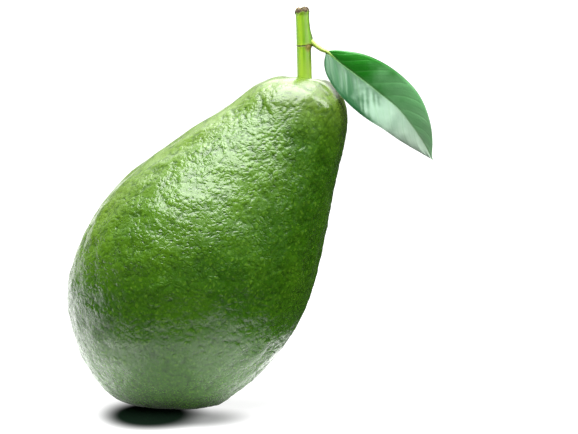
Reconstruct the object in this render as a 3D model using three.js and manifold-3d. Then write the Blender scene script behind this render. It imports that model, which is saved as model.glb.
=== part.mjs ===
// A whole green-skinned avocado as picked: the pear-shaped fruit, a short length of its stem and
// one folded leaf. It stands on its broad end, leaning, on the small flat spot under its weight.
// Millimetres, +Z up, +X towards the side it leans to, -Y towards the viewer. The origin is on
// the surface that it stands on, in the middle of the flat spot.

import * as THREE from "three";
import { mergeVertices } from "three/addons/utils/BufferGeometryUtils.js";
import Module from "manifold-3d";

// Fruit: an axis that leans and turns upright in the neck, and the girth along it
const FRUIT_LENGTH = 120;
const BLOSSOM_END = { x: -20.3, z: 2.3 };
const LEAN_DEG = 33.5;
const NECK_BEND = { from: 90, shift: 5.6 };
// Half-width at nine equal steps of the polar angle, from the blossom end to the stem end,
// each over the sine of that angle, so that both ends close in a smooth round
const GIRTH = [25, 34.7, 40, 39, 35.5, 29.7, 27.3, 35.4, 47];
const DEPTH_SHARE = 0.97;
const FRUIT_DETAIL = 18;

// Pebbled skin: waves of one length in many directions, larger and flatter than the real pebbles
const PEBBLE_HEIGHT = 0.16;
const PEBBLE_SPACING = 8;
const PEBBLE_WAVES = 14;
const PEBBLE_SEED = 7;

// Small forms at the two ends, and how the ripe flesh settles on the surface
const STEM_PIT = { depth: 1.9, radius: 4.4, reachBelow: 12 };
const BLOSSOM_SCAR = { depth: 0.5, radius: 3.2 };
const SETTLE = { drop: 3.2, fade: 3, middle: 14, spread: 16 };

// Stem: a cut length of twig with one node, standing in the pit of the stem end
const STEM_FOOT = new THREE.Vector3(41.4, 1.2, 101.6);
const STEM_NODE = new THREE.Vector3(41.3, 0.6, 114);
const STEM_TOP = new THREE.Vector3(40.5, 0, 127);
const STEM_RADIUS = { foot: 2.25, node: 2.1, neck: 1.85, top: 2.05 };
const STEM_FLARE = { height: 1.3, length: 1.1 };
const NODE_AT = 0.53;
const NODE_RING = { height: 0.16, width: 0.022 };
const LEAF_CUSHION = { height: 1.1, middle: 0.56, above: 0.16, below: 0.05 };
const STEM_RIM = { from: 0.9, to: 0.95 };
const STEM_END = { from: 0.955, narrowing: 0.25 };
const STEM_SIDES = 18;
const STEM_STEPS = 30;

// Leaf: a thin stalk that runs on as the midrib, and a blade folded along it
const STALK = [
  [45.1, -0.1, 115.2],
  [45.8, -0.5, 114.4],
  [46.9, -1, 113.7],
  [48.2, -1.7, 113.1],
];
const MIDRIB = [
  [53.4, -3.6, 108.9],
  [58.6, -5, 105.1],
  [65, -5.8, 100.1],
  [70.8, -5.6, 95.3],
  [75.6, -4.4, 89.4],
  [79.5, -2.6, 83.6],
  [82.1, -1.2, 78.7],
];
const STALK_RADIUS = 0.62;
const MIDRIB_END_RADIUS = 0.34;
const MIDRIB_THINS_FROM = 0.1;
const STALK_SIDES = 8;
const STALK_STEPS = 40;
const BLADE_FROM = 0.075;
// Each half of the blade: its greatest width, and how fast it widens and narrows again
const UPPER_HALF = { width: 9.2, rise: 0.85, fall: 1.08 };
const LOWER_HALF = { width: 9.9, rise: 0.62, fall: 0.92 };
const LEAST_HALF_WIDTH = 0.45;
const BLADE_THICKNESS = 0.8;
// The fold along the midrib, in degrees, and the share of it that is gone at the tip
const BLADE_FOLD = { angle: 27, loss: 0.35 };
const BLADE_ROLL_DEG = 3;
const BLADE_CURL = 0.9;
const BLADE_WAVE = { height: 0.35, count: 2.5, slant: 0.2 };
const VEIN = { pairs: 8, height: 0.16, slant: 0.16 };
const BLADE_STEPS = 40;
const BLADE_ACROSS = 12;

const SOCKET = { sideGap: 0.35, floorGap: 0.5, height: 8 };
const FLOOR_BLOCK = 200;
// Vertices closer than this are one
const WELD = 1e-4;
// Lehmer's random numbers
const RANDOM = { factor: 16807, modulus: 2147483647 };

const SKIN = new THREE.MeshStandardMaterial({ color: 0x3f7a1c, roughness: 0.38, metalness: 0 });
const TWIG = new THREE.MeshStandardMaterial({ color: 0x9cc63a, roughness: 0.5, metalness: 0 });
const FOLIAGE = new THREE.MeshStandardMaterial({ color: 0x2f7d33, roughness: 0.35, metalness: 0 });

const wasm = await Module();
wasm.setup();

const radians = THREE.MathUtils.degToRad;
const smoothstep = THREE.MathUtils.smoothstep;

// A closed geometry as a manifold-3d solid
function solidOf(geometry) {
  const bare = geometry.clone();
  bare.deleteAttribute("normal");
  bare.deleteAttribute("uv");
  const merged = mergeVertices(bare, WELD);
  return new wasm.Manifold(
    new wasm.Mesh({
      numProp: 3,
      vertProperties: new Float32Array(merged.attributes.position.array),
      triVerts: new Uint32Array(merged.index.array),
    }),
  );
}

function geometryOf(solid) {
  const mesh = solid.getMesh();
  const geometry = new THREE.BufferGeometry();
  geometry.setAttribute("position", new THREE.BufferAttribute(mesh.vertProperties, 3));
  geometry.setIndex(new THREE.BufferAttribute(mesh.triVerts, 1));
  geometry.computeVertexNormals();
  return geometry;
}

// Moves each vertex of a geometry to where place(vertex) puts it
function shapeVertices(geometry, place) {
  const position = geometry.attributes.position;
  const vertex = new THREE.Vector3();
  for (let i = 0; i < position.count; i++) {
    vertex.fromBufferAttribute(position, i);
    const moved = place(vertex);
    position.setXYZ(i, moved.x, moved.y, moved.z);
  }
  return geometry;
}

// A value between equally spaced stations, on a smooth curve through them that is level at its ends
function betweenStations(stations, share) {
  const last = stations.length - 1;
  const at = THREE.MathUtils.clamp(share, 0, 1) * last;
  const i = Math.min(Math.floor(at), last - 1);
  const t = at - i;
  const before = stations[i === 0 ? 1 : i - 1];
  const after = stations[i + 2 > last ? last - 1 : i + 2];
  const [a, b] = [stations[i], stations[i + 1]];
  return (
    a +
    0.5 * t * (b - before + t * (2 * before - 5 * a + 4 * b - after + t * (3 * (a - b) + after - before)))
  );
}

function seededRandom(seed) {
  let state = seed;
  return () => {
    state = (state * RANDOM.factor) % RANDOM.modulus;
    return state / RANDOM.modulus;
  };
}

// Wave directions spread evenly over a sphere, each with its own random phase
function makeWaves() {
  const random = seededRandom(PEBBLE_SEED);
  return Array.from({ length: PEBBLE_WAVES }, () => {
    const up = 2 * random() - 1;
    const turn = 2 * Math.PI * random();
    const flat = Math.sqrt(1 - up * up);
    const direction = new THREE.Vector3(flat * Math.cos(turn), flat * Math.sin(turn), up);
    return { direction, phase: 2 * Math.PI * random() };
  });
}

const waves = makeWaves();

function pebbles(point) {
  const sum = waves.reduce(
    (total, wave) =>
      total + Math.sin((2 * Math.PI * wave.direction.dot(point)) / PEBBLE_SPACING + wave.phase),
    0,
  );
  return PEBBLE_HEIGHT * sum * Math.sqrt(2 / PEBBLE_WAVES);
}

// The fruit's axis: straight up to the neck, where it bends upright ever faster. Its place,
// its direction and the side that it leans to
function fruitAxis(distance) {
  const lean = radians(LEAN_DEG);
  const bent = Math.max(0, (distance - NECK_BEND.from) / (FRUIT_LENGTH - NECK_BEND.from));
  const bendSlope = (3 * NECK_BEND.shift * bent ** 2) / (FRUIT_LENGTH - NECK_BEND.from);
  const leanHere = lean - Math.atan(bendSlope);
  const along = new THREE.Vector3(Math.sin(leanHere), 0, Math.cos(leanHere));
  const side = new THREE.Vector3(Math.cos(leanHere), 0, -Math.sin(leanHere));
  const shift = NECK_BEND.shift * bent ** 3;
  const place = new THREE.Vector3(
    BLOSSOM_END.x + distance * Math.sin(lean) - shift * Math.cos(lean),
    0,
    BLOSSOM_END.z + distance * Math.cos(lean) + shift * Math.sin(lean),
  );
  return { place, along, side };
}

// Where a point of the unit sphere goes on the smooth fruit, -Z at the blossom end
function onFruit(unit) {
  const distance = (FRUIT_LENGTH / 2) * (1 + THREE.MathUtils.clamp(unit.z, -1, 1));
  const polar = Math.acos(THREE.MathUtils.clamp(-unit.z, -1, 1)) / Math.PI;
  const girth = betweenStations(GIRTH, polar);
  const { place, side } = fruitAxis(distance);
  return place
    .addScaledVector(side, girth * unit.x)
    .add(new THREE.Vector3(0, DEPTH_SHARE * girth * unit.y, 0));
}

// The pit that the stem stands in and the scar at the blossom end, as a push along the axis
function endForms(point) {
  const fromStem = Math.hypot(point.x - STEM_FOOT.x, point.y - STEM_FOOT.y);
  const nearTop = point.z > STEM_FOOT.z - STEM_PIT.reachBelow;
  const pit = nearTop ? Math.exp(-((fromStem / STEM_PIT.radius) ** 2)) : 0;
  const fromScar = Math.hypot(point.x - BLOSSOM_END.x, point.y, point.z - BLOSSOM_END.z);
  const scar = Math.exp(-((fromScar / BLOSSOM_SCAR.radius) ** 2));
  const blossomward = fruitAxis(0).along;
  return new THREE.Vector3(0, 0, -STEM_PIT.depth * pit).addScaledVector(
    blossomward,
    BLOSSOM_SCAR.depth * scar,
  );
}

// The flesh near the surface sags a little towards it, most under the fruit's weight
function settle(point) {
  const sideways = Math.exp(-(((point.x - SETTLE.middle) / SETTLE.spread) ** 2));
  const drop = SETTLE.drop * sideways * Math.exp(-Math.max(0, point.z) / SETTLE.fade);
  return new THREE.Vector3(point.x, point.y, point.z - drop);
}

function makeFruit() {
  const ball = mergeVertices(bareBall(FRUIT_DETAIL), WELD);
  shapeVertices(ball, onFruit);
  ball.computeVertexNormals();
  const normals = ball.attributes.normal.clone();
  let i = 0;
  shapeVertices(ball, (point) => {
    const outward = new THREE.Vector3().fromBufferAttribute(normals, i++);
    const relief = pebbles(point);
    return settle(point.clone().add(endForms(point)).addScaledVector(outward, relief));
  });
  return geometryOf(solidOf(ball).subtract(floorBlock()).subtract(stemSocket()));
}

function bareBall(detail) {
  const ball = new THREE.IcosahedronGeometry(1, detail);
  ball.deleteAttribute("normal");
  ball.deleteAttribute("uv");
  return ball;
}

// A block whose top is the surface that the fruit stands on
function floorBlock() {
  const block = new THREE.BoxGeometry(FLOOR_BLOCK, FLOOR_BLOCK, FLOOR_BLOCK);
  return solidOf(block.translate(0, 0, -FLOOR_BLOCK / 2));
}

// The plain round hole that the stem's foot stands in, clear of it all round
function stemSocket() {
  const radius = STEM_RADIUS.foot + STEM_FLARE.height + SOCKET.sideGap;
  const hole = new THREE.CylinderGeometry(radius, radius, SOCKET.height, STEM_SIDES);
  hole.rotateX(Math.PI / 2);
  hole.translate(STEM_FOOT.x, STEM_FOOT.y, STEM_FOOT.z - SOCKET.floorGap + SOCKET.height / 2);
  return solidOf(hole);
}

// A round bar with flat ends that follows a curve, with its radius given by share along and angle
function bar(curve, sides, steps, radiusAt) {
  const cylinder = new THREE.CylinderGeometry(1, 1, 1, sides, steps);
  const depth = new THREE.Vector3(0, 1, 0);
  return shapeVertices(cylinder, (vertex) => {
    const share = THREE.MathUtils.clamp(vertex.y + 0.5, 0, 1);
    const along = curve.getTangentAt(share);
    const side = new THREE.Vector3().crossVectors(depth, along).normalize();
    const back = new THREE.Vector3().crossVectors(along, side);
    const reach = Math.hypot(vertex.x, vertex.z);
    const angle = Math.atan2(vertex.z, vertex.x);
    const radius = reach * radiusAt(share, angle);
    return curve
      .getPointAt(share)
      .addScaledVector(side, radius * Math.cos(angle))
      .addScaledVector(back, -radius * Math.sin(angle));
  });
}

// 1 in the middle of a bump and next to nothing at twice its reach
function bump(value, middle, reach) {
  return Math.exp(-(((value - middle) / reach) ** 2));
}

// The stem's radius: a flared foot, a ring at the node, a cushion under the leaf stalk, a dry rim
function stemRadius(share, angle) {
  const body =
    share < NODE_AT
      ? THREE.MathUtils.lerp(STEM_RADIUS.foot, STEM_RADIUS.node, share / NODE_AT)
      : THREE.MathUtils.lerp(STEM_RADIUS.node, STEM_RADIUS.neck, (share - NODE_AT) / (1 - NODE_AT));
  const height = share * STEM_TOP.distanceTo(STEM_FOOT);
  const foot = STEM_FLARE.height * bump(height, 0, STEM_FLARE.length);
  const ring = NODE_RING.height * bump(share, NODE_AT, NODE_RING.width);
  const reach = share > LEAF_CUSHION.middle ? LEAF_CUSHION.above : LEAF_CUSHION.below;
  const facing = Math.max(0, Math.cos(angle)) ** 3;
  const cushion = LEAF_CUSHION.height * facing * bump(share, LEAF_CUSHION.middle, reach);
  const rim = (STEM_RADIUS.top - STEM_RADIUS.neck) * smoothstep(share, STEM_RIM.from, STEM_RIM.to);
  const closing = smoothstep(share, STEM_END.from, 1);
  const rounding = 1 - STEM_END.narrowing * (1 - Math.sqrt(Math.max(0, 1 - closing ** 2)));
  return (body + foot + ring + cushion + rim) * rounding;
}

function makeStem() {
  const line = new THREE.QuadraticBezierCurve3(STEM_FOOT, STEM_NODE, STEM_TOP);
  return geometryOf(solidOf(bar(line, STEM_SIDES, STEM_STEPS, stemRadius)));
}

function leafLine() {
  const points = [...STALK, ...MIDRIB].map((p) => new THREE.Vector3(...p));
  return new THREE.CatmullRomCurve3(points, false, "centripetal");
}

// The blade's half-width on one side of the midrib, by share of its length
function bladeHalfWidth(share, half) {
  const shape = (at) => at ** half.rise * (1 - at) ** half.fall;
  const widestAt = half.rise / (half.rise + half.fall);
  const inside = THREE.MathUtils.clamp(share, 0, 1);
  return Math.max(LEAST_HALF_WIDTH, (half.width * shape(inside)) / shape(widestAt));
}

// A point of the blade, by share of its length, share of its half-width and side of its thickness
function onBlade(line, share, across, face) {
  const curveShare = BLADE_FROM + share * (1 - BLADE_FROM);
  const along = line.getTangentAt(curveShare);
  const viewer = new THREE.Vector3(0, -1, 0);
  const acrossFlat = new THREE.Vector3().crossVectors(viewer, along).normalize();
  const faceFlat = new THREE.Vector3().crossVectors(along, acrossFlat);
  const roll = radians(BLADE_ROLL_DEG);
  const [c, s] = [Math.cos(roll), Math.sin(roll)];
  const sideways = acrossFlat.clone().multiplyScalar(c).addScaledVector(faceFlat, -s);
  const outward = faceFlat.clone().multiplyScalar(c).addScaledVector(acrossFlat, s);
  const fold = radians(BLADE_FOLD.angle) * (1 - BLADE_FOLD.loss * share);
  const width = bladeHalfWidth(share, across > 0 ? UPPER_HALF : LOWER_HALF);
  const reach = Math.abs(across);
  const wavePhase = 2 * Math.PI * (BLADE_WAVE.count * share + BLADE_WAVE.slant * across);
  const edgeWave = BLADE_WAVE.height * reach ** 2 * Math.sin(wavePhase);
  const veinPhase = 2 * Math.PI * VEIN.pairs * (share - VEIN.slant * reach);
  // Quilting is highest midway between the midrib and the edge
  const quilting = VEIN.height * Math.sin(veinPhase) * 4 * reach * (1 - reach);
  const rise =
    width * reach * Math.sin(fold) -
    BLADE_CURL * reach ** 3 +
    edgeWave +
    quilting +
    (face * BLADE_THICKNESS) / 2;
  return line
    .getPointAt(curveShare)
    .addScaledVector(sideways, width * across * Math.cos(fold))
    .addScaledVector(outward, rise);
}

// Splits the quads of a box's back face along the same diagonal as those of its front face
function matchDiagonals(box) {
  const backGroup = box.groups[5];
  const index = box.index;
  for (let i = backGroup.start; i < backGroup.start + backGroup.count; i += 6) {
    const [a, b, d, c] = [index.getX(i), index.getX(i + 1), index.getX(i + 2), index.getX(i + 4)];
    [a, b, c, a, c, d].forEach((corner, k) => index.setX(i + k, corner));
  }
  return box;
}

function makeLeaf() {
  const line = leafLine();
  const sheet = matchDiagonals(new THREE.BoxGeometry(1, 2, 2, BLADE_STEPS, BLADE_ACROSS, 1));
  shapeVertices(sheet, (v) => onBlade(line, v.x + 0.5, v.y, v.z));
  const ribRadius = (share) =>
    THREE.MathUtils.lerp(STALK_RADIUS, MIDRIB_END_RADIUS, smoothstep(share, MIDRIB_THINS_FROM, 1));
  const rib = bar(line, STALK_SIDES, STALK_STEPS, ribRadius);
  return geometryOf(solidOf(sheet).add(solidOf(rib)));
}

function part(name, geometry, material) {
  const mesh = new THREE.Mesh(geometry, material);
  mesh.name = name;
  return mesh;
}

const avocado = new THREE.Group();
avocado.add(part("fruit", makeFruit(), SKIN));
avocado.add(part("stem", makeStem(), TWIG));
avocado.add(part("leaf", makeLeaf(), FOLIAGE));

export default avocado;
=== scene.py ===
# The looks of a whole avocado with its cut stem and one leaf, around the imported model.
# Shapes are worked out in millimetres and become metres when a mesh is made.

import math

import bpy
import numpy as np
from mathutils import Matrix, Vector, noise


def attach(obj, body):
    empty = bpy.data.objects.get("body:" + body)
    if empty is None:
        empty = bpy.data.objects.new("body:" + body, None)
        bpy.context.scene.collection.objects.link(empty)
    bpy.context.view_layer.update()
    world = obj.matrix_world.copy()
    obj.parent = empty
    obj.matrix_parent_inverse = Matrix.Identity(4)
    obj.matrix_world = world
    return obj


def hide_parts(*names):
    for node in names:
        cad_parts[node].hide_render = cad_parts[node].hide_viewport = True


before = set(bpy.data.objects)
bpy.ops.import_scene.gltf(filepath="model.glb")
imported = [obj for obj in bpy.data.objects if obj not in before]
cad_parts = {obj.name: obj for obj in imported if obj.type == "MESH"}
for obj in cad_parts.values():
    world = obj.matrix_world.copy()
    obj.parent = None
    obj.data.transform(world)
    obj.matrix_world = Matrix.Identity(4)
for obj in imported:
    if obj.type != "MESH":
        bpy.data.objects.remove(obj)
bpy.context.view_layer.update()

MM = 0.001

# Fruit: an axis that leans and turns upright in the neck, and the girth along it
FRUIT_LENGTH = 120
BLOSSOM_END = np.array([-20.3, 0, 2.3])
LEAN = math.radians(33.5)
NECK_BEND_FROM = 90
NECK_BEND_SHIFT = 5.6
GIRTH = (25, 34.7, 40, 39, 35.5, 29.7, 27.3, 35.4, 47)
DEPTH_SHARE = 0.97
SKIN_COLUMNS = 112
SKIN_ROWS = 158

# Skin relief: long waves, pebbles with grooves between them, and a fine crinkle. It is stronger in a
# creased patch on the neck, and calmer round the stem and on the sunny flank.
WAVE_HEIGHT = 0.11
WAVE_SPACING = 8
WAVE_COUNT = 14
WAVE_SEED = 7
PEBBLE_SPACING = 2.2
PEBBLE_HEIGHT = 0.26
PEBBLE_WARP = 0.38
PEBBLE_EDGE = 0.4
PEBBLE_SEED = 5
CRINKLE_SPACING = 1.7
CRINKLE_HEIGHT = 0.09
CREASED_MIDDLE = np.array([24, -22, 88])
CREASED_REACH = 14
CALM_FROM_STEM, FULL_FROM_STEM = 9, 24
# The flank that faces the light: its relief is calmer and its colour is painted lighter
FLANK_TOWARDS = np.array([-0.52, 0.1, 0.84])

# Small forms at the two ends, and how the ripe flesh settles on the surface
PIT_DEPTH, PIT_RADIUS, PIT_REACH_DOWN = 1.9, 4.4, 12
SCAR_DEPTH, SCAR_RADIUS = 0.5, 3.2
SETTLE_DROP, SETTLE_FADE = 3.2, 3
SETTLE_MIDDLE, SETTLE_SPREAD = 14, 16
FLOOR_ROUNDING = 0.3

# Stem
STEM_FOOT = np.array([41.4, 1.2, 101.6])
STEM_NODE = np.array([41.3, 0.6, 114])
STEM_TOP = np.array([40.5, 0, 127])
STEM_FOOT_RADIUS, STEM_NODE_RADIUS = 2.35, 2.2
STEM_NECK_RADIUS, STEM_TOP_RADIUS = 2.12, 2.3
NODE_AT = 0.53
BUD_SCAR = np.array([42.8, -1.4, 114.2])
BUD_SCAR_RADIUS = 1.3
STEM_SIDES = 96
STEM_STEPS = 220

# Leaf
STALK = [(42.8, 0.3, 116.5), (44.2, 0, 115.4), (45.6, -0.5, 114.4), (46.9, -1, 113.6), (48.2, -1.7, 113.1)]
MIDRIB = [
    (53.4, -3.6, 108.9),
    (58.6, -5, 105.1),
    (65, -5.8, 100.1),
    (70.8, -5.6, 95.3),
    (75.6, -4.4, 89.4),
    (79.5, -2.6, 83.6),
    (82.1, -1.2, 78.7),
]
BLADE_START = np.array([48.2, -1.7, 113.1])
STALK_RADIUS = 0.72
MIDRIB_END_RADIUS = 0.16
UPPER_HALF = (9.2, 0.85, 1.08)
LOWER_HALF = (9.9, 0.62, 0.92)
LEAST_HALF_WIDTH = 0.3
BLADE_THICKNESS = 0.34
BLADE_FOLD = math.radians(27)
BLADE_ROLL = math.radians(3)
BLADE_CURL = 0.9
EDGE_WAVE, EDGE_WAVE_COUNT = 0.35, 2.5
VEIN_PAIRS, QUILTING, VEIN_SLANT = 8, 0.14, 0.16
UPPER_QUILTING_SHARE = 0.3
RIPPLE_COUNT, RIPPLE_HEIGHT = 20, 0.05
BLADE_STEPS = 260
BLADE_ACROSS = 112

# Camera: what the photograph's frame shows of the plane y = 0
FRAME_WIDTH_PX, FRAME_HEIGHT_PX = 578, 434
PX_PER_MM = 3.13
ORIGIN_PX = (175, 405.5)
CAMERA_ELEVATION = math.radians(5.5)
CAMERA_LENS = 150
SENSOR_WIDTH = 36

# Patches of the floor in metres, each a middle and two half-axes. The first three are a painted shadow
# that only the camera sees: its dark core, its soft right side and a faint painted shade beyond. The others
# shape the floor's glow, which lights the fruit: rings round the contact and further out, and a painted dark
# patch under its belly.
SHADOW_CORE = ((-0.007, -0.02), (0.0105, 0.0184))
SHADOW_SIDE = ((0.005, -0.0275), (0.022, 0.02))
FAINT_SHADE = ((0.06, -0.005), (0.04, 0.03))
CONTACT_RINGS = ((0, 0), (1, 1))
OUTER_RINGS = ((0.01, 0), (1, 1))
UNDER_BELLY = ((-0.0035, -0.012), (0.0165, 0.03))


def smoothstep(low, high, value):
    t = np.clip((value - low) / (high - low), 0, 1)
    return t * t * (3 - 2 * t)


def unit(vectors):
    return vectors / np.maximum(np.linalg.norm(vectors, axis=-1, keepdims=True), 1e-12)


def between_stations(stations, share):
    """A value between equally spaced stations, on a smooth curve through them, level at its ends."""
    last = len(stations) - 1
    padded = np.array([stations[1], *stations, stations[-2]], float)
    at = np.clip(share, 0, 1) * last
    i = np.minimum(np.floor(at).astype(int), last - 1)
    t = at - i
    before, a, b, after = (padded[i + k] for k in range(4))
    cubic = 3 * (a - b) + after - before
    return a + 0.5 * t * (b - before + t * (2 * before - 5 * a + 4 * b - after + t * cubic))


def make_piece(name, points, faces, material, attributes=None):
    """A smooth-shaded mesh piece from points in millimetres, with float attributes by name."""
    mesh = bpy.data.meshes.new(name)
    mesh.from_pydata((np.asarray(points) * MM).tolist(), [], [list(face) for face in faces])
    mesh.validate()
    mesh.update()
    mesh.polygons.foreach_set("use_smooth", [True] * len(mesh.polygons))
    for key, values in (attributes or {}).items():
        layer = mesh.attributes.new(key, "FLOAT", "POINT")
        layer.data.foreach_set("value", np.asarray(values, np.float32))
    piece = bpy.data.objects.new(name, mesh)
    bpy.context.scene.collection.objects.link(piece)
    mesh.materials.append(material)
    return piece


# Fruit shape


def box_sphere(columns, rows):
    """Unit vectors and quads of a sphere made from a box that has more rows along its axis."""
    across = np.tan(np.linspace(-1, 1, columns + 1) * math.pi / 4)
    along = np.tan(np.linspace(-1, 1, rows + 1) * math.pi / 4)
    points, quads, count = [], [], 0
    sides = [(0, 1, 2, along), (1, 0, 2, along), (2, 0, 1, across)]
    for fixed, first, second, second_line in sides:
        for sign in (-1, 1):
            a, b = np.meshgrid(across, second_line, indexing="ij")
            grid = np.zeros(a.shape + (3,))
            grid[..., fixed] = sign
            grid[..., first] = a
            grid[..., second] = b
            index = np.arange(a.size).reshape(a.shape) + count
            corners = [index[:-1, :-1], index[1:, :-1], index[1:, 1:], index[:-1, 1:]]
            quads.append(np.stack(corners, -1).reshape(-1, 4))
            points.append(grid.reshape(-1, 3))
            count += a.size
    points = unit(np.concatenate(points))
    quads = np.concatenate(quads)
    _, first_seen, weld = np.unique(np.round(points, 6), axis=0, return_index=True, return_inverse=True)
    points, quads = points[first_seen], weld.reshape(-1)[quads]
    normal = np.cross(points[quads[:, 1]] - points[quads[:, 0]], points[quads[:, 2]] - points[quads[:, 0]])
    inward = (normal * points[quads[:, 0]]).sum(1) < 0
    quads[inward] = quads[inward][:, ::-1]
    return points, quads


def fruit_axis(distance):
    """Place and sideways direction of the axis at each distance from the blossom end."""
    rest = FRUIT_LENGTH - NECK_BEND_FROM
    bent = np.maximum(0, (distance - NECK_BEND_FROM) / rest)
    lean = LEAN - np.arctan(3 * NECK_BEND_SHIFT * bent**2 / rest)
    shift = NECK_BEND_SHIFT * bent**3
    zero = np.zeros_like(distance)
    place = BLOSSOM_END + np.stack(
        [
            distance * math.sin(LEAN) - shift * math.cos(LEAN),
            zero,
            distance * math.cos(LEAN) + shift * math.sin(LEAN),
        ],
        -1,
    )
    side = np.stack([np.cos(lean), zero, -np.sin(lean)], -1)
    return place, side


def on_fruit(ball):
    """Where points of the unit sphere go on the smooth fruit, -Z at the blossom end."""
    height = np.clip(ball[:, 2], -1, 1)
    girth = between_stations(GIRTH, np.arccos(-height) / math.pi)
    place, side = fruit_axis(FRUIT_LENGTH / 2 * (1 + height))
    across = side * (girth * ball[:, 0])[:, None]
    deep = np.array([0, 1, 0]) * (DEPTH_SHARE * girth * ball[:, 1])[:, None]
    return place + across + deep


def surface_normals(points, quads):
    normals = np.zeros_like(points)
    diagonals = np.cross(points[quads[:, 2]] - points[quads[:, 0]], points[quads[:, 3]] - points[quads[:, 1]])
    for corner in range(4):
        np.add.at(normals, quads[:, corner], diagonals)
    return unit(normals)


def seeded_random(seed):
    """Numbers from 0 to 1, the same each run."""
    state = seed
    while True:
        state = (state * 16807) % 2147483647
        yield state / 2147483647


def long_waves(points):
    """Waves of one length in many directions."""
    random = seeded_random(WAVE_SEED)
    total = np.zeros(len(points))
    for _ in range(WAVE_COUNT):
        up = 2 * next(random) - 1
        turn = 2 * math.pi * next(random)
        flat = math.sqrt(1 - up * up)
        direction = np.array([flat * math.cos(turn), flat * math.sin(turn), up])
        phase = 2 * math.pi * next(random)
        total += np.sin(2 * math.pi * (points @ direction) / WAVE_SPACING + phase)
    return WAVE_HEIGHT * math.sqrt(2 / WAVE_COUNT) * total


def pebble_tops(points):
    """0 in the deepest grooves and near 1 on the flat tops between them. Most grooves fade out
    along their length, so that neighbouring pebbles run together."""
    # Without a seed the noise vectors differ from one run to the next
    noise.seed_set(PEBBLE_SEED)
    tops = np.empty(len(points))
    for i, point in enumerate(points / PEBBLE_SPACING):
        at = Vector(point)
        warped = at + PEBBLE_WARP * noise.noise_vector(at * 0.9)
        near, far = noise.voronoi(warped)[0][:2]
        edge = min(1.0, (far - near) / PEBBLE_EDGE)
        depth = min(1.0, max(0.15, 0.5 + 1.3 * noise.noise(at * 1.2)))
        tops[i] = 0.85 - depth * (1 - edge) ** 2 + 0.35 * noise.noise(at * 0.6)
    return np.clip(tops, 0, 1.2)


def crinkle(points):
    return np.array([noise.noise(Vector(p)) for p in points / CRINKLE_SPACING])


def end_forms(points):
    """The pit that the stem stands in and the scar at the blossom end."""
    from_stem = np.hypot(points[:, 0] - STEM_FOOT[0], points[:, 1] - STEM_FOOT[1])
    near_top = points[:, 2] > STEM_FOOT[2] - PIT_REACH_DOWN
    pit = np.exp(-((from_stem / PIT_RADIUS) ** 2)) * near_top
    scar = np.exp(-((np.linalg.norm(points - BLOSSOM_END, axis=1) / SCAR_RADIUS) ** 2))
    inward = np.array([math.sin(LEAN), 0, math.cos(LEAN)])
    return np.outer(pit, [0, 0, -PIT_DEPTH]) + np.outer(scar, SCAR_DEPTH * inward)


def settle(points):
    """The flesh near the surface sags towards it, and lies flat on it."""
    sideways = np.exp(-(((points[:, 0] - SETTLE_MIDDLE) / SETTLE_SPREAD) ** 2))
    drop = SETTLE_DROP * sideways * np.exp(-np.maximum(0, points[:, 2]) / SETTLE_FADE)
    height = points[:, 2] - drop
    settled = points.copy()
    settled[:, 2] = 0.5 * (height + np.sqrt(height**2 + FLOOR_ROUNDING**2))
    return settled


def make_fruit(material):
    ball, quads = box_sphere(SKIN_COLUMNS, SKIN_ROWS)
    smooth = on_fruit(ball)
    outward = surface_normals(smooth, quads)
    tops = pebble_tops(smooth)
    from_stem = np.linalg.norm(smooth - STEM_FOOT, axis=1)
    creased = np.exp(-((np.linalg.norm(smooth - CREASED_MIDDLE, axis=1) / CREASED_REACH) ** 2))
    flank = smoothstep(0.5, 1.0, outward @ unit(FLANK_TOWARDS))
    strength = 0.25 + 0.75 * smoothstep(CALM_FROM_STEM, FULL_FROM_STEM, from_stem) + 0.5 * creased
    strength = strength * (1 - 0.75 * smoothstep(0.75, 1, flank))
    fine = PEBBLE_HEIGHT * (tops - 0.6) + CRINKLE_HEIGHT * crinkle(smooth)
    relief = long_waves(smooth) + strength * fine
    shaped = settle(smooth + end_forms(smooth) + outward * relief[:, None])
    attributes = {
        "tops": tops,
        "flank": flank,
        # How much painted light the skin's colour gets, by how far it faces up
        "painted_light_share": smoothstep(0.05, 0.4, outward[:, 2]) - 0.7 * smoothstep(0.52, 0.85, outward[:, 2]),
        # Where the underside's colour is painted lighter, standing in for light from the floor
        "belly": smoothstep(0.1, 0.5, -outward[:, 2]),
        "creased": creased,
        "stem_distance": from_stem,
        "scar_distance": np.linalg.norm(smooth - BLOSSOM_END, axis=1),
    }
    piece = make_piece("fruit_skin", shaped, quads, material, attributes)
    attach(piece, "root")
    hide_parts("fruit")


# Stem and leaf shapes


def ring_faces(rings, sides):
    """Quads of a tube of rings, each ring with the same number of sides."""
    index = np.arange(rings * sides).reshape(rings, sides)
    turned = np.roll(index, -1, axis=1)
    return np.stack([index[:-1], turned[:-1], turned[1:], index[1:]], -1).reshape(-1, 4)


def capped_tube(rings):
    """Points and faces of a closed tube: its rings, and a point in the middle of each end."""
    count, sides = rings.shape[:2]
    points = np.concatenate([rings.reshape(-1, 3), rings[0].mean(0)[None], rings[-1].mean(0)[None]])
    faces = ring_faces(count, sides).tolist()
    first, last = count * sides, count * sides + 1
    for k in range(sides):
        after = (k + 1) % sides
        faces.append([first, after, k])
        faces.append([last, (count - 1) * sides + k, (count - 1) * sides + after])
    return points, faces


def stem_line(share):
    """Place and direction on the stem's middle line."""
    t = share[:, None]
    place = (1 - t) ** 2 * STEM_FOOT + 2 * t * (1 - t) * STEM_NODE + t**2 * STEM_TOP
    along = unit(2 * (1 - t) * (STEM_NODE - STEM_FOOT) + 2 * t * (STEM_TOP - STEM_NODE))
    return place, along


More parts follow.
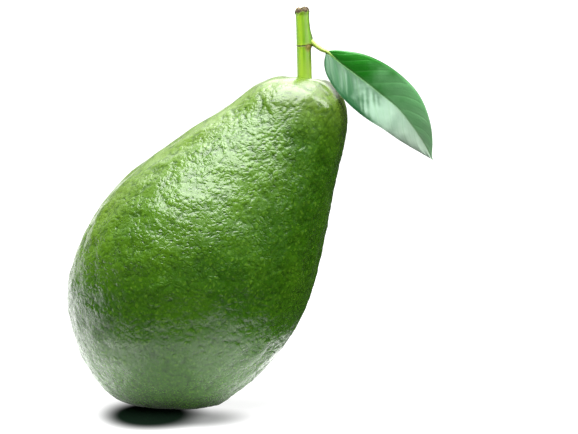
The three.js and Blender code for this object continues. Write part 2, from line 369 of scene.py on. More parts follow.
def stem_radius(share, angle):
    """The bark's radius: flared foot, swollen node, cushion under the leaf's stalk, dry rim."""
    body = np.where(
        share < NODE_AT,
        STEM_FOOT_RADIUS + (STEM_NODE_RADIUS - STEM_FOOT_RADIUS) * share / NODE_AT,
        STEM_NODE_RADIUS + (STEM_NECK_RADIUS - STEM_NODE_RADIUS) * (share - NODE_AT) / (1 - NODE_AT),
    )
    height = share * np.linalg.norm(STEM_TOP - STEM_FOOT)
    foot = 0.8 * np.exp(-((height / 1.1) ** 2))
    # The ring runs a little uphill towards the leaf
    at_ring = share - NODE_AT - 0.008 * np.cos(angle)
    ring = 0.09 * np.exp(-((at_ring / 0.022) ** 2)) - 0.18 * np.exp(-((at_ring / 0.006) ** 2))
    reach = np.where(share > NODE_AT + 0.03, 0.13, 0.05)
    facing = np.maximum(0, np.cos(angle)) ** 3
    cushion = 0.9 * facing * np.exp(-(((share - NODE_AT - 0.03) / reach) ** 2))
    rim = (STEM_TOP_RADIUS - STEM_NECK_RADIUS) * smoothstep(0.9, 0.95, share)
    ribs = 0.05 * np.cos(4 * angle + 1.1) * smoothstep(0.12, 0.3, share)
    fibres = 0.03 * np.sin(17 * angle + 2.2 * np.sin(5 * angle)) * smoothstep(0.2, 0.35, share)
    return body + foot + ring + cushion + rim + ribs + fibres


def stem_rings():
    share = np.linspace(0, 1, STEM_STEPS)
    angle = np.linspace(0, 2 * math.pi, STEM_SIDES, endpoint=False)
    place, along = stem_line(share)
    side = unit(np.cross(np.array([0, 1, 0]), along))
    back = np.cross(along, side)
    s, a = np.meshgrid(share, angle, indexing="ij")
    radius = stem_radius(s, a)
    rough = np.empty(s.shape)
    for i, u in enumerate(share):
        for k, v in enumerate(angle):
            rough[i, k] = noise.noise(Vector((2.1 * math.cos(v), 2.1 * math.sin(v), 46 * u)))
    dry = smoothstep(0.9, 0.97, s)
    radius = radius * (1 + (0.012 + 0.07 * dry) * rough) - 0.35 * smoothstep(0.965, 1, s)
    outward = side[:, None] * np.cos(a)[..., None] - back[:, None] * np.sin(a)[..., None]
    rings = place[:, None] + outward * radius[..., None]
    ragged = np.array([noise.noise(Vector((1.6 * math.cos(v), 1.6 * math.sin(v), 3.3))) for v in angle])
    rings += along[:, None] * (0.7 * ragged[None] * dry - 0.1 * dry)[..., None]
    return rings, s, np.cos(a)


def make_stem(material):
    rings, share, side = stem_rings()
    # The cut end: rings that close in over a sunken, uneven face
    middle = rings[-1].mean(0)
    closing = []
    for step, size in enumerate(np.linspace(0.93, 0.08, 16)):
        ring = middle + (rings[-1] - middle) * size
        ring[:, 2] -= 0.45 * math.sqrt(1 - size**2) - 0.1 * math.sin(step * 1.9)
        closing.append(ring)
    rings = np.concatenate([rings, np.array(closing)])
    share = np.concatenate([share, np.full((len(closing), STEM_SIDES), 1.02)])
    side = np.concatenate([side, np.zeros((len(closing), STEM_SIDES))])
    points, faces = capped_tube(rings)
    attributes = {
        "share": np.concatenate([share.reshape(-1), [0, 1.02]]),
        "side": np.concatenate([side.reshape(-1), [0, 0]]),
        "bud_scar": np.exp(-((np.linalg.norm(points - BUD_SCAR, axis=1) / BUD_SCAR_RADIUS) ** 4)),
    }
    piece = make_piece("stem_bark", points, faces, material, attributes)
    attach(piece, "root")
    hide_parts("stem")


def leaf_line(samples=600):
    """The stalk and midrib as points evenly spaced on a centripetal curve through the named points."""
    knots = np.array([*STALK, *MIDRIB], float)
    ends = np.concatenate([[2 * knots[0] - knots[1]], knots, [2 * knots[-1] - knots[-2]]])
    pieces = []
    for i in range(len(knots) - 1):
        p0, p1, p2, p3 = ends[i : i + 4]
        d0, d1, d2 = (math.sqrt(np.linalg.norm(b - a)) for a, b in ((p0, p1), (p1, p2), (p2, p3)))
        out = ((p1 - p0) / d0 - (p2 - p0) / (d0 + d1) + (p2 - p1) / d1) * d1
        into = ((p2 - p1) / d1 - (p3 - p1) / (d1 + d2) + (p3 - p2) / d2) * d1
        t = np.linspace(0, 1, 80, endpoint=False)[:, None]
        pieces.append(
            p1 + out * t + (3 * (p2 - p1) - 2 * out - into) * t**2 + (2 * (p1 - p2) + out + into) * t**3
        )
    dense = np.concatenate([*pieces, knots[-1:]])
    run = np.concatenate([[0], np.cumsum(np.linalg.norm(np.diff(dense, axis=0), axis=1))])
    even = np.linspace(0, run[-1], samples)
    line = np.stack([np.interp(even, run, dense[:, k]) for k in range(3)], -1)
    return line, unit(np.gradient(line, axis=0))


def at_share(values, share):
    """Values of an evenly spaced table at shares of its length."""
    at = np.clip(share, 0, 1) * (len(values) - 1)
    return np.stack([np.interp(at, np.arange(len(values)), values[:, k]) for k in range(values.shape[1])], -1)


def blade_half_width(share, half):
    width, rise, fall = half
    inside = np.clip(share, 0, 1)
    widest = rise / (rise + fall)
    shape = inside**rise * (1 - inside) ** fall / (widest**rise * (1 - widest) ** fall)
    return np.maximum(LEAST_HALF_WIDTH, width * shape)


def vein_distance(share, across, pairs, length):
    """How far, in millimetres along the midrib, a point is from the nearest side vein."""
    phase = pairs * (share - VEIN_SLANT * np.abs(across) - 0.05 * across**2) + 0.25 * (across > 0)
    return np.abs(phase - np.round(phase)) * length / pairs


def blade_points(line, along, share, across, face):
    """Points of the blade by share of length, share of half-width (up is positive) and face."""
    start = np.argmin(np.linalg.norm(line - BLADE_START, axis=1)) / (len(line) - 1)
    at = start + share * (1 - start)
    place, forward = at_share(line, at), unit(at_share(along, at))
    across_flat = unit(np.cross(np.array([0, -1, 0]), forward))
    face_flat = np.cross(forward, across_flat)
    c, s = math.cos(BLADE_ROLL), math.sin(BLADE_ROLL)
    sideways = across_flat * c - face_flat * s
    outward = face_flat * c + across_flat * s
    fold = BLADE_FOLD * (1 - 0.35 * share)
    width = np.where(across > 0, blade_half_width(share, UPPER_HALF), blade_half_width(share, LOWER_HALF))
    reach = np.abs(across)
    length = np.linalg.norm(line[-1] - BLADE_START)
    edge = EDGE_WAVE * reach**2 * np.sin(2 * math.pi * (EDGE_WAVE_COUNT * share + 0.2 * across))
    slanted = share - VEIN_SLANT * reach
    quilting = QUILTING * np.where(across > 0, UPPER_QUILTING_SHARE, 1)
    quilt = quilting * np.sin(2 * math.pi * VEIN_PAIRS * slanted) * reach * (1 - reach) * 4
    # Narrow ripples across the lower half, near the stalk
    wander = 1.5 * np.sin(2 * math.pi * 3.1 * slanted) + 1.1 * np.sin(2 * math.pi * 7.3 * slanted)
    rippled = smoothstep(0.05, 0.16, share) * (1 - smoothstep(0.45, 0.66, share)) * (across < 0)
    rippled = rippled * smoothstep(0.04, 0.25, reach) * (1 - smoothstep(0.8, 1, reach))
    swell = 0.55 + 0.45 * np.sin(2 * math.pi * (5.3 * slanted + 0.5 * reach) + 1)
    ripple = np.sin(2 * math.pi * RIPPLE_COUNT * slanted + wander) * rippled * swell
    fade = (1 - smoothstep(0.75, 1, reach)) * smoothstep(0.02, 0.1, reach)
    side_vein = np.exp(-((vein_distance(share, across, VEIN_PAIRS, length) / 0.3) ** 2)) * fade
    halfway = share + 0.5 / VEIN_PAIRS
    fine_vein = np.exp(-((vein_distance(halfway, across, VEIN_PAIRS, length) / 0.24) ** 2)) * fade
    rib = np.exp(-((width * reach / 0.35) ** 2)) * (1 - 0.6 * share)
    relief = 0.05 * side_vein + 0.02 * fine_vein - RIPPLE_HEIGHT * ripple
    rise = width * reach * np.sin(fold) - BLADE_CURL * reach**3 + edge + quilt - relief - 0.2 * rib
    edge_thin = 0.35 + 0.65 * (1 - smoothstep(0.9, 1, reach))
    half_thick = BLADE_THICKNESS / 2 * edge_thin + np.where(face < 0, 0.25 * rib, 0)
    points = place + sideways * (width * across * np.cos(fold))[:, None]
    points += outward * (rise + face * half_thick)[:, None]
    return points, rib, side_vein, fine_vein, ripple


def make_blade(line, along, material):
    share = np.linspace(0, 1, BLADE_STEPS + 1)
    across = np.sin(np.linspace(-1, 1, BLADE_ACROSS + 1) * math.pi / 2 * 0.999)
    across /= across[-1]
    s, a = (grid.reshape(-1) for grid in np.meshgrid(share, across, indexing="ij"))
    front = blade_points(line, along, s, a, np.ones_like(s))
    back = blade_points(line, along, s, a, -np.ones_like(s))
    count = len(s)
    index = np.arange(count).reshape(BLADE_STEPS + 1, BLADE_ACROSS + 1)
    quads = np.stack([index[:-1, :-1], index[1:, :-1], index[1:, 1:], index[:-1, 1:]], -1).reshape(-1, 4)
    rim = np.concatenate([index[0, :-1], index[:-1, -1], index[-1, :0:-1], index[:0:-1, 0]])
    after = np.roll(rim, -1)
    edge = np.stack([rim, after, after + count, rim + count], -1)
    faces = np.concatenate([quads, quads[:, ::-1] + count, edge])
    attributes = {
        "rib": np.concatenate([front[1], back[1]]),
        "vein": np.concatenate([front[2], back[2]]),
        "fine_vein": np.concatenate([front[3], back[3]]),
        "ripple": np.concatenate([front[4], back[4]]),
        "share": np.concatenate([s, s]),
        "reach": np.concatenate([a, a]),
        "underside": np.concatenate([np.zeros(count), np.ones(count)]),
    }
    piece = make_piece("leaf_blade", np.concatenate([front[0], back[0]]), faces, material, attributes)
    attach(piece, "root")
    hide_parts("leaf")


def make_stalk(line, along, material):
    """The leaf's stalk, which thickens where it leaves the stem and runs out along the midrib."""
    share = np.linspace(0, 0.6, 150)
    angle = np.linspace(0, 2 * math.pi, 32, endpoint=False)
    place, forward = at_share(line, share), unit(at_share(along, share))
    side = unit(np.cross(np.array([0, 1, 0]), forward))
    back = np.cross(forward, side)
    radius = STALK_RADIUS + 0.4 * np.exp(-((share / 0.025) ** 2))
    radius = radius + (MIDRIB_END_RADIUS - radius) * smoothstep(0.08, 0.28, share)
    sunk = np.array([0, 1, 0]) * (0.28 * smoothstep(0.1, 0.2, share))[:, None]
    circle = side[:, None] * np.cos(angle)[None, :, None] + back[:, None] * np.sin(angle)[None, :, None]
    points, faces = capped_tube((place + sunk)[:, None] + circle * radius[:, None, None])
    attributes = {"share": np.concatenate([np.repeat(share, len(angle)), [share[0], share[-1]]])}
    piece = make_piece("leaf_stalk", points, faces, material, attributes)
    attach(piece, "root")
    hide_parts("leaf")


# Materials


class Nodes:
    """Short ways to build a material's node tree."""

    def __init__(self, name):
        self.material = bpy.data.materials.new(name)
        self.material.use_nodes = True
        self.tree = self.material.node_tree
        self.tree.nodes.clear()
        self.shader = self.tree.nodes.new("ShaderNodeBsdfPrincipled")
        output = self.tree.nodes.new("ShaderNodeOutputMaterial")
        self.tree.links.new(self.shader.outputs[0], output.inputs[0])
        coordinates = self.tree.nodes.new("ShaderNodeTexCoord")
        self.place = coordinates.outputs["Object"]

    def set(self, socket, value):
        if isinstance(value, bpy.types.NodeSocket):
            self.tree.links.new(value, socket)
        else:
            socket.default_value = value

    def surface(self, **inputs):
        for key, value in inputs.items():
            self.set(self.shader.inputs[key.replace("_", " ")], value)

    def attribute(self, name):
        node = self.tree.nodes.new("ShaderNodeAttribute")
        node.attribute_name = name
        return node.outputs["Fac"]

    def noise(self, spacing_mm, detail=2, roughness=0.5, output="Fac", at=None):
        node = self.tree.nodes.new("ShaderNodeTexNoise")
        self.tree.links.new(at or self.place, node.inputs["Vector"])
        node.inputs["Scale"].default_value = 1 / (spacing_mm * MM)
        node.inputs["Detail"].default_value = detail
        node.inputs["Roughness"].default_value = roughness
        return node.outputs[output]

    def cells(self, spacing_mm, feature="F1", at=None):
        node = self.tree.nodes.new("ShaderNodeTexVoronoi")
        node.feature = feature
        self.tree.links.new(at or self.place, node.inputs["Vector"])
        node.inputs["Scale"].default_value = 1 / (spacing_mm * MM)
        return node.outputs["Distance"]

    def stretched(self, at, scale):
        """Places scaled along each axis, which draws a pattern out along the axes scaled least."""
        node = self.tree.nodes.new("ShaderNodeVectorMath")
        node.operation = "MULTIPLY"
        self.tree.links.new(at, node.inputs[0])
        node.inputs[1].default_value = scale
        return node.outputs[0]

    def bent(self, spacing_mm, shift_mm):
        """Places moved about by soft noise, which makes the cells of a pattern uneven."""
        centred = self.tree.nodes.new("ShaderNodeVectorMath")
        centred.operation = "SUBTRACT"
        self.tree.links.new(self.noise(spacing_mm, 2, output="Color"), centred.inputs[0])
        centred.inputs[1].default_value = (0.5, 0.5, 0.5)
        moved = self.tree.nodes.new("ShaderNodeVectorMath")
        moved.operation = "MULTIPLY_ADD"
        self.tree.links.new(centred.outputs[0], moved.inputs[0])
        moved.inputs[1].default_value = (4 * shift_mm * MM,) * 3
        self.tree.links.new(self.place, moved.inputs[2])
        return moved.outputs[0]

    def ramp(self, value, low, high, start=0.0, end=1.0):
        node = self.tree.nodes.new("ShaderNodeMapRange")
        node.interpolation_type = "SMOOTHSTEP"
        self.set(node.inputs["Value"], value)
        for key, number in zip(("From Min", "From Max", "To Min", "To Max"), (low, high, start, end)):
            node.inputs[key].default_value = number
        return node.outputs["Result"]

    def math(self, operation, a, b=0.0):
        node = self.tree.nodes.new("ShaderNodeMath")
        node.operation = operation
        self.set(node.inputs[0], a)
        self.set(node.inputs[1], b)
        return node.outputs[0]

    def mix(self, factor, a, b):
        node = self.tree.nodes.new("ShaderNodeMix")
        node.data_type = "RGBA"
        self.set(node.inputs["Factor"], factor)
        colours = [s for s in node.inputs if s.type == "RGBA"]
        for socket, value in zip(colours, (a, b)):
            self.set(socket, (*value, 1) if isinstance(value, tuple) else value)
        return next(s for s in node.outputs if s.type == "RGBA")

    def bump(self, height, depth_mm, strength=1.0):
        node = self.tree.nodes.new("ShaderNodeBump")
        node.inputs["Strength"].default_value = strength
        node.inputs["Distance"].default_value = depth_mm * MM
        self.set(node.inputs["Height"], height)
        return node.outputs["Normal"]


def skin_material():
    n = Nodes("avocado_skin")
    tops = n.attribute("tops")
    painted_light_share = n.attribute("painted_light_share")
    # Painted light and shade: a lighter, yellower green where the skin faces partly up, a darker one where it
    # faces sideways or down, and partly the darker one again on the top
    shaded = n.mix(n.ramp(n.noise(22, 3, 0.55), 0.35, 0.66), (0.017, 0.066, 0.001), (0.03, 0.094, 0.002))
    lit = n.mix(n.ramp(n.noise(16, 3, 0.55), 0.35, 0.66), (0.04, 0.106, 0.003), (0.058, 0.138, 0.004))
    colour = n.mix(painted_light_share, shaded, lit)
    # Painted light: the underside is a lighter green, standing in for light bounced up from the floor
    colour = n.mix(n.math("MULTIPLY", n.attribute("belly"), 0.7), colour, (0.027, 0.1, 0.002))
    # Greyer round the stem
    colour = n.mix(n.ramp(n.attribute("stem_distance"), 9, 26, 0.8, 0.0), colour, (0.075, 0.11, 0.012))
    # Painted light: a lighter yellow-green on the upper-left flank, the side that faces the light
    flank = n.math("MULTIPLY", n.attribute("flank"), n.ramp(n.noise(18, 3), 0.25, 0.6, 0.6, 0.95))
    colour = n.mix(flank, colour, (0.082, 0.148, 0.005))
    mottling = n.ramp(n.noise(1.3, 4, 0.7), 0.5, 0.68)
    colour = n.mix(n.math("MULTIPLY", mottling, 0.4), colour, (0.06, 0.14, 0.006))
    # Faint wrinkles between small pebbles, and pits that come in some patches and not in others
    pebbles = n.ramp(n.cells(1.6, "DISTANCE_TO_EDGE", at=n.bent(1.8, 0.4)), 0.0, 0.3)
    # Painted light: the tops of the small pebbles are a lighter yellow-green, as if they catch the light
    painted_lit_tops = n.math("MULTIPLY", n.ramp(pebbles, 0.55, 1.0), n.ramp(n.noise(1.1, 2), 0.42, 0.6, 0.0, 0.4))
    colour = n.mix(painted_lit_tops, colour, (0.1, 0.21, 0.012))
    flattened = n.stretched(n.bent(1.2, 0.3), (0.5, 0.5, 1.0))
    pits = n.ramp(n.cells(1.05, at=flattened), 0.1, 0.4, 1.0, 0.0)
    creased = n.attribute("creased")
    patches = n.math("ADD", n.noise(2.6, 2), n.math("MULTIPLY", creased, 0.18))
    pits = n.math("MULTIPLY", pits, n.ramp(patches, 0.4, 0.52))
    pits = n.math("MULTIPLY", pits, n.ramp(n.attribute("flank"), 0.5, 0.95, 1.0, 0.0))
    pits = n.math("MULTIPLY", pits, n.ramp(painted_light_share, 0.0, 0.5, 0.3, 1.0))
    # Painted shade: the grooves between the pebbles and the pits are a darker green
    painted_groove_shade = n.math("MULTIPLY", n.ramp(tops, 0.1, 0.7, 1.0, 0.0), 0.55)
    painted_groove_shade = n.math("MAXIMUM", painted_groove_shade, n.math("MULTIPLY", pits, 0.8))
    colour = n.mix(painted_groove_shade, colour, (0.01, 0.04, 0.001))
    dots = n.ramp(n.cells(2.4, at=n.bent(3.0, 0.6)), 0.03, 0.11, 1.0, 0.0)
    lenticels = n.math("MULTIPLY", dots, n.ramp(n.noise(4.0, 0), 0.45, 0.6))
    colour = n.mix(n.math("MULTIPLY", lenticels, 0.5), colour, (0.16, 0.24, 0.05))
    cork = n.ramp(n.attribute("stem_distance"), 2.8, 4.2, 0.8, 0.0)
    colour = n.mix(cork, colour, (0.06, 0.055, 0.018))
    scar = n.ramp(n.attribute("scar_distance"), 0.9, 2.0, 0.9, 0.0)
    colour = n.mix(scar, colour, (0.05, 0.03, 0.012))
    grain = n.math("MULTIPLY", n.noise(0.8, 2, 0.5), 0.5)
    height = n.math("ADD", n.math("MULTIPLY", pebbles, 0.65), grain)
    height = n.math("SUBTRACT", height, n.math("MULTIPLY", pits, 0.75))
    # Some patches are smoother than others, and so are the neck and the sunny flank
    strength = n.ramp(n.noise(6.0, 2), 0.34, 0.58, 0.5, 1.0)
    strength = n.math("MULTIPLY", strength, n.ramp(n.attribute("stem_distance"), 12, 32, 0.15, 1.0))
    strength = n.math("MULTIPLY", strength, n.ramp(n.attribute("flank"), 0.7, 0.97, 1.0, 0.12))
    strength = n.math("ADD", strength, n.math("MULTIPLY", creased, 0.5))
    normal = n.bump(n.math("MULTIPLY", height, strength), 0.115)
    roughness = n.ramp(n.noise(3.0, 2), 0.3, 0.7, 0.2, 0.29)
    n.surface(
        Base_Color=colour,
        Roughness=n.math("ADD", roughness, n.math("MULTIPLY", creased, 0.1)),
        IOR=1.47,
        Coat_Weight=n.ramp(n.attribute("stem_distance"), 8, 20, 0.35, 0.1),
        Coat_Roughness=0.14,
        Normal=normal,
        Coat_Normal=normal,
    )
    return n.material


def twig_material():
    n = Nodes("green_twig")
    share = n.attribute("share")
    side = n.attribute("side")
    streaks = n.noise(1.5, 2, 0.5, at=n.stretched(n.place, (1, 1, 0.08)))
    colour = n.mix(n.ramp(streaks, 0.35, 0.65), (0.12, 0.31, 0.008), (0.21, 0.41, 0.02))
    # Broad bands along it: yellow-green on one side, paler on the other, and a dark edge. The yellow-green is
    # painted light on the side the light comes from, and the dark edge is partly painted shade and partly the
    # bark's own darker colour.
    yellow = n.math("MULTIPLY", n.ramp(side, -0.95, -0.6), n.ramp(side, -0.35, 0.0, 1.0, 0.0))
    colour = n.mix(n.math("MULTIPLY", yellow, 0.75), colour, (0.36, 0.6, 0.02))
    pale = n.math("MULTIPLY", n.ramp(side, 0.1, 0.4), n.ramp(side, 0.6, 0.85, 1.0, 0.0))
    colour = n.mix(n.math("MULTIPLY", pale, 0.6), colour, (0.24, 0.36, 0.1))
    # Painted shade on the dark edge, partly the bark's own darker colour
    colour = n.mix(n.ramp(side, 0.78, 0.98, 0.0, 0.85), colour, (0.045, 0.065, 0.015))
    low = n.ramp(share, 0.2, 0.5, 1.0, 0.0)
    colour = n.mix(n.math("MULTIPLY", low, 0.4), colour, (0.36, 0.5, 0.06))
    near_node = n.math("ABSOLUTE", n.math("SUBTRACT", share, NODE_AT))
    blush = n.ramp(near_node, 0.0, 0.05, 0.3, 0.0)
    colour = n.mix(blush, colour, (0.34, 0.36, 0.04))
    line = n.ramp(near_node, 0.004, 0.014, 0.9, 0.0)
    colour = n.mix(line, colour, (0.05, 0.05, 0.006))
    tan = n.mix(n.ramp(n.noise(0.6, 2), 0.4, 0.6), (0.16, 0.09, 0.02), (0.32, 0.22, 0.07))
    colour = n.mix(n.math("MULTIPLY", n.attribute("bud_scar"), 0.8), colour, tan)
    dry = n.ramp(n.math("ADD", share, n.math("MULTIPLY", n.noise(1.3, 3), 0.05)), 0.945, 0.985)
    brown = n.mix(n.ramp(n.noise(0.5, 3), 0.4, 0.65), (0.035, 0.022, 0.009), (0.12, 0.085, 0.035))
    colour = n.mix(dry, colour, brown)
    n.surface(
        Base_Color=colour,
        Roughness=n.ramp(dry, 0, 1, 0.36, 0.8),
        Normal=n.bump(n.noise(0.35, 4, 0.65), 0.06, 0.6),
    )
    n.surface(Subsurface_Weight=0.12, Subsurface_Radius=(0.8, 1.0, 0.2), Subsurface_Scale=0.001)
    return n.material


def stalk_material():
    n = Nodes("leaf_stalk")
    colour = n.mix(n.ramp(n.noise(1.2, 3), 0.35, 0.7), (0.24, 0.34, 0.04), (0.36, 0.44, 0.09))
    colour = n.mix(n.ramp(n.attribute("share"), 0.1, 0.2), colour, (0.1, 0.26, 0.05))
    n.surface(Base_Color=colour, Roughness=0.38, Normal=n.bump(n.noise(0.4, 3), 0.05, 0.5))
    n.surface(Subsurface_Weight=0.12, Subsurface_Radius=(0.8, 1.0, 0.2), Subsurface_Scale=0.001)
    return n.material


def leaf_material():
    n = Nodes("leaf_blade")
    share = n.attribute("share")
    reach = n.attribute("reach")
    lower_half = n.ramp(reach, -0.05, 0.05, 1.0, 0.0)
    patches = n.math("MULTIPLY", n.math("SUBTRACT", n.noise(6, 3), 0.5), 0.5)
    along = n.math("ADD", share, patches)
    # The upper half goes from deep green to a greyer one, which towards the tip is partly the leaf's own
    # colour and partly painted sheen
    upper = n.mix(n.ramp(along, 0.25, 0.58), (0.008, 0.165, 0.004), (0.13, 0.37, 0.135))
    upper = n.mix(n.ramp(along, 0.6, 1.0), upper, (0.2, 0.4, 0.2))
    # The lower half has a painted sheen, a pale colour that stands in for reflected light, first on its
    # ripples and then all over, and painted shade at its edge
    ripple = n.math("MULTIPLY", n.attribute("ripple"), 0.25)
    painted_sheen = n.math("ADD", n.ramp(along, 0.2, 0.55, 0.08, 0.95), ripple)
    shaded_edge = n.math("MULTIPLY", n.ramp(reach, -1.0, -0.7, 1.0, 0.0), n.ramp(share, 0.4, 0.7, 0.6, 0.0))
    painted_sheen = n.math("SUBTRACT", painted_sheen, shaded_edge)
    lower = n.mix(n.ramp(painted_sheen, 0.0, 1.0), (0.008, 0.08, 0.02), (0.23, 0.37, 0.26))
    lower = n.mix(n.ramp(along, 0.5, 0.95), lower, (0.45, 0.6, 0.46))
    colour = n.mix(lower_half, upper, lower)
    fine = n.math("MULTIPLY", n.attribute("fine_vein"), 0.1)
    colour = n.mix(fine, colour, (0.1, 0.3, 0.09))
    vein = n.math("MULTIPLY", n.attribute("vein"), 0.16)
    colour = n.mix(vein, colour, (0.13, 0.32, 0.11))
    rib = n.math("MULTIPLY", n.attribute("rib"), 0.6)
    colour = n.mix(rib, colour, (0.17, 0.36, 0.12))
    under = n.attribute("underside")
    colour = n.mix(n.math("MULTIPLY", under, 0.6), colour, (0.08, 0.17, 0.06))
    height = n.math("ADD", n.noise(0.8, 3), n.math("MULTIPLY", n.cells(0.9, "DISTANCE_TO_EDGE"), 0.5))
    normal = n.bump(height, 0.04, 0.5)
    # It shines more towards the tip
    wax = n.math("MULTIPLY", n.ramp(share, 0.15, 0.7, 0.05, 0.7), n.math("SUBTRACT", 1.0, under))
    n.surface(
        Base_Color=colour,
        Roughness=n.ramp(under, 0, 1, 0.45, 0.6),
        IOR=1.4,
        Coat_Weight=wax,
        Coat_Roughness=0.3,
        Normal=normal,
        Coat_Normal=normal,
    )
    return n.material


# Stage: floor, light and camera


def plain_material(name, colour, roughness):
    n = Nodes(name)
    n.surface(Base_Color=(*colour, 1), Roughness=roughness)
    return n.material


def plane(name, size, location, rotation, material):
    x, y = size[0] / 2, size[1] / 2
    mesh = bpy.data.meshes.new(name)
    mesh.from_pydata([(-x, -y, 0), (x, -y, 0), (x, y, 0), (-x, y, 0)], [], [(0, 1, 2, 3)])
    mesh.materials.append(material)
    board = bpy.data.objects.new(name, mesh)
    board.location = location
    board.rotation_euler = rotation
    bpy.context.scene.collection.objects.link(board)
    return board


def scaled_distance(n, middle, scale):
    """Distance of a place from a middle, in units of an ellipse's half-axes."""
    shifted = n.tree.nodes.new("ShaderNodeVectorMath")
    shifted.operation = "SUBTRACT"
    n.tree.links.new(n.place, shifted.inputs[0])
    shifted.inputs[1].default_value = (*middle, 0)
    scaled = n.tree.nodes.new("ShaderNodeVectorMath")
    scaled.operation = "DIVIDE"
    n.tree.links.new(shifted.outputs[0], scaled.inputs[0])
    scaled.inputs[1].default_value = (*scale, 1)
    length = n.tree.nodes.new("ShaderNodeVectorMath")
    length.operation = "LENGTH"
    n.tree.links.new(scaled.outputs[0], length.inputs[0])
    return length.outputs["Value"]


def make_floor():
    """A white light table, whose glow is painted light. The camera sees a painted shadow on it where
    the fruit stands, and the fruit, lit from under its belly by the glow, doesn't."""
    n = Nodes("floor")
    # Painted shadow for the camera: darker colour and less glow in the core, on the soft side and in the
    # faint shade
    core = n.ramp(scaled_distance(n, *SHADOW_CORE), 0.9, 1.9)
    side = n.ramp(scaled_distance(n, *SHADOW_SIDE), 0.3, 1.2, 0.28, 1.0)
    open_floor = n.math("MULTIPLY", core, side)
    shade = n.ramp(scaled_distance(n, *FAINT_SHADE), 0.3, 1.8, 0.75, 1.0)
    seen_glow = n.math("MULTIPLY", open_floor, shade)
    seen_colour = n.mix(open_floor, (0.003, 0.007, 0.004), (0.15, 0.15, 0.15))
    # Painted glow that lights the fruit from under its belly, and a painted dark patch under the belly, both
    # only for rays that don't go to the camera
    near_contact = n.ramp(scaled_distance(n, *CONTACT_RINGS), 0.011, 0.03, 0.1, 1.25)
    further_out = n.ramp(scaled_distance(n, *OUTER_RINGS), 0.035, 0.09, 1.0, 0.3)
    cast_glow = n.math("MULTIPLY", near_contact, further_out)
    under = n.ramp(scaled_distance(n, *UNDER_BELLY), 0.7, 1.45)
    cast_colour = n.mix(under, (0.02, 0.03, 0.02), (0.5, 0.5, 0.5))
    seen = n.tree.nodes.new("ShaderNodeLightPath").outputs["Is Camera Ray"]
    unseen = n.math("SUBTRACT", 1.0, seen)
    glow = n.math("ADD", n.math("MULTIPLY", seen, seen_glow), n.math("MULTIPLY", unseen, cast_glow))
    n.surface(
        Base_Color=n.mix(seen, cast_colour, seen_colour),
        Roughness=0.6,
        Specular_IOR_Level=0.0,
        Emission_Color=(1, 1, 1, 1),
        Emission_Strength=glow,
    )
    plane("floor", (12, 12), (0, 0, 0), (0, 0, 0), n.material)


def dark_card(name, size, location, rotation, material):
    """A dark card of painted shade for the unlit parts of the studio, which the camera doesn't see."""
    card = plane(name, size, location, rotation, material)
    card.visible_camera = False
    card.visible_shadow = False


def mat_material():
    """Unlit floor, a dark sheet of painted shade, that begins in front of the fruit and beside it, a little
    nearer on the left.
    """
    n = Nodes("unlit_floor")
    place = n.tree.nodes.new("ShaderNodeNewGeometry").outputs["Position"]
    split = n.tree.nodes.new("ShaderNodeSeparateXYZ")
    n.tree.links.new(place, split.inputs[0])
    x, y = split.outputs["X"], split.outputs["Y"]
    front_edge = n.ramp(x, -0.07, -0.02, 0.01, -0.022)
    in_front = n.ramp(n.math("SUBTRACT", front_edge, y), 0.0, 0.09)
    solid = n.math("MAXIMUM", in_front, n.ramp(x, 0.03, 0.07))
    n.surface(Base_Color=(0.01, 0.01, 0.01, 1), Roughness=1.0, Specular_IOR_Level=0.0, Alpha=solid)
    return n.material


def make_cards():
    dark_card("front_mat", (2.4, 1.3), (0.3, -0.64, 0.0004), (0, 0, 0), mat_material())
    dark_card("right_mat", (1, 0.5), (0.55, 0.26, 0.0004), (0, 0, 0), mat_material())
    unlit = plain_material("unlit_card", (0.01, 0.01, 0.01), 1.0)
    dark_card("right_card", (0.12, 0.25), (0.1, 0.09, 0.06), (0, math.radians(90), 0), unlit)


def make_world():
    """Soft surroundings: dim beside the camera, brighter behind the object and overhead."""
    world = bpy.data.worlds.new("white_studio")
    world.use_nodes = True
    tree = world.node_tree
    background = tree.nodes["Background"]
    direction = tree.nodes.new("ShaderNodeTexCoord").outputs["Generated"]
    split = tree.nodes.new("ShaderNodeSeparateXYZ")
    tree.links.new(direction, split.inputs[0])

    def ramp(value, low, high, start, end):
        node = tree.nodes.new("ShaderNodeMapRange")
        node.interpolation_type = "SMOOTHSTEP"
        tree.links.new(value, node.inputs["Value"])
        for key, number in zip(("From Min", "From Max", "To Min", "To Max"), (low, high, start, end)):
            node.inputs[key].default_value = number
        return node.outputs["Result"]

    def add(a, b, operation="ADD"):
        node = tree.nodes.new("ShaderNodeMath")
        node.operation = operation
        tree.links.new(a, node.inputs[0])
        tree.links.new(b, node.inputs[1])
        return node.outputs[0]

    behind = ramp(split.outputs["Y"], 0.2, 0.95, 0.04, 1.9)
    behind = add(behind, ramp(split.outputs["X"], 0.2, 0.7, 1.0, 0.25), "MULTIPLY")
    behind = add(behind, ramp(split.outputs["Z"], 0.02, 0.22, 1.0, 0.15), "MULTIPLY")
    overhead = ramp(split.outputs["Z"], 0.2, 0.9, 0.0, 4.5)
    overhead = add(overhead, ramp(split.outputs["Y"], -0.3, 0.8, 0.4, 1.7), "MULTIPLY")
    overhead = add(overhead, ramp(split.outputs["X"], -0.65, 0.0, 0.22, 1.0), "MULTIPLY")
    seen = tree.nodes.new("ShaderNodeLightPath").outputs["Is Camera Ray"]
    strength = add(add(behind, overhead), seen, "MAXIMUM")
    tree.links.new(strength, background.inputs["Strength"])
    background.inputs["Color"].default_value = (1, 1, 1, 1)
    bpy.context.scene.world = world


def make_stage():
    make_floor()
    make_cards()
    make_world()
    bpy.context.scene.view_settings.view_transform = "Standard"
    bpy.context.scene.view_settings.look = "None"


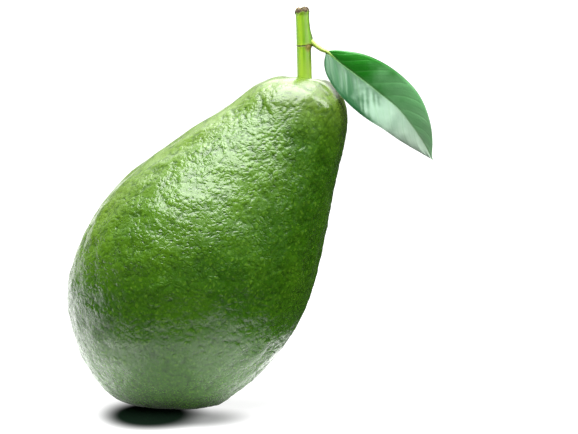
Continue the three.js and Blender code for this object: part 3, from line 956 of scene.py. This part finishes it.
def softbox(name, direction, distance, size, radiance):
    """A rectangular light that faces the fruit from a direction and has one radiance all over."""
    data = bpy.data.lights.new(name, "AREA")
    data.shape = "RECTANGLE"
    data.size, data.size_y = size
    data.energy = radiance * math.pi * size[0] * size[1]
    light = bpy.data.objects.new(name, data)
    target = Vector((0.01, 0, 0.05))
    towards = Vector(direction).normalized()
    light.location = target + towards * distance
    light.rotation_mode = "QUATERNION"
    light.rotation_quaternion = towards.to_track_quat("Z", "Y")
    light.visible_camera = False
    bpy.context.scene.collection.objects.link(light)
    return light


def make_lights():
    softbox("overhead_softbox", (-0.07, -0.19, 0.98), 0.8, (0.82, 0.9), 10)
    softbox("right_softbox", (0.78, -0.12, 0.62), 0.9, (0.25, 0.6), 9)
    fill = softbox("front_fill", (0.62, -0.62, 0.48), 0.7, (0.3, 0.45), 5)
    fill.visible_glossy = False


def make_camera():
    """Looks at the middle of the photograph's frame, with its scale at the plane y = 0."""
    middle = np.array([FRAME_WIDTH_PX / 2, FRAME_HEIGHT_PX / 2])
    target = Vector(
        (
            (middle[0] - ORIGIN_PX[0]) / PX_PER_MM * MM,
            0,
            (ORIGIN_PX[1] - middle[1]) / PX_PER_MM * MM,
        )
    )
    distance = FRAME_WIDTH_PX / PX_PER_MM * MM * CAMERA_LENS / SENSOR_WIDTH
    back = Vector((0, -math.cos(CAMERA_ELEVATION), math.sin(CAMERA_ELEVATION)))
    data = bpy.data.cameras.new("camera")
    data.lens = CAMERA_LENS
    data.sensor_width = SENSOR_WIDTH
    data.clip_start, data.clip_end = 0.01, 50
    camera = bpy.data.objects.new("camera", data)
    camera.location = target + back * distance
    camera.rotation_mode = "QUATERNION"
    camera.rotation_quaternion = back.to_track_quat("Z", "Y")
    bpy.context.scene.collection.objects.link(camera)
    bpy.context.scene.camera = camera


make_fruit(skin_material())
make_stem(twig_material())
line, along = leaf_line()
make_blade(line, along, leaf_material())
make_stalk(line, along, stalk_material())
make_stage()
make_lights()
make_camera()
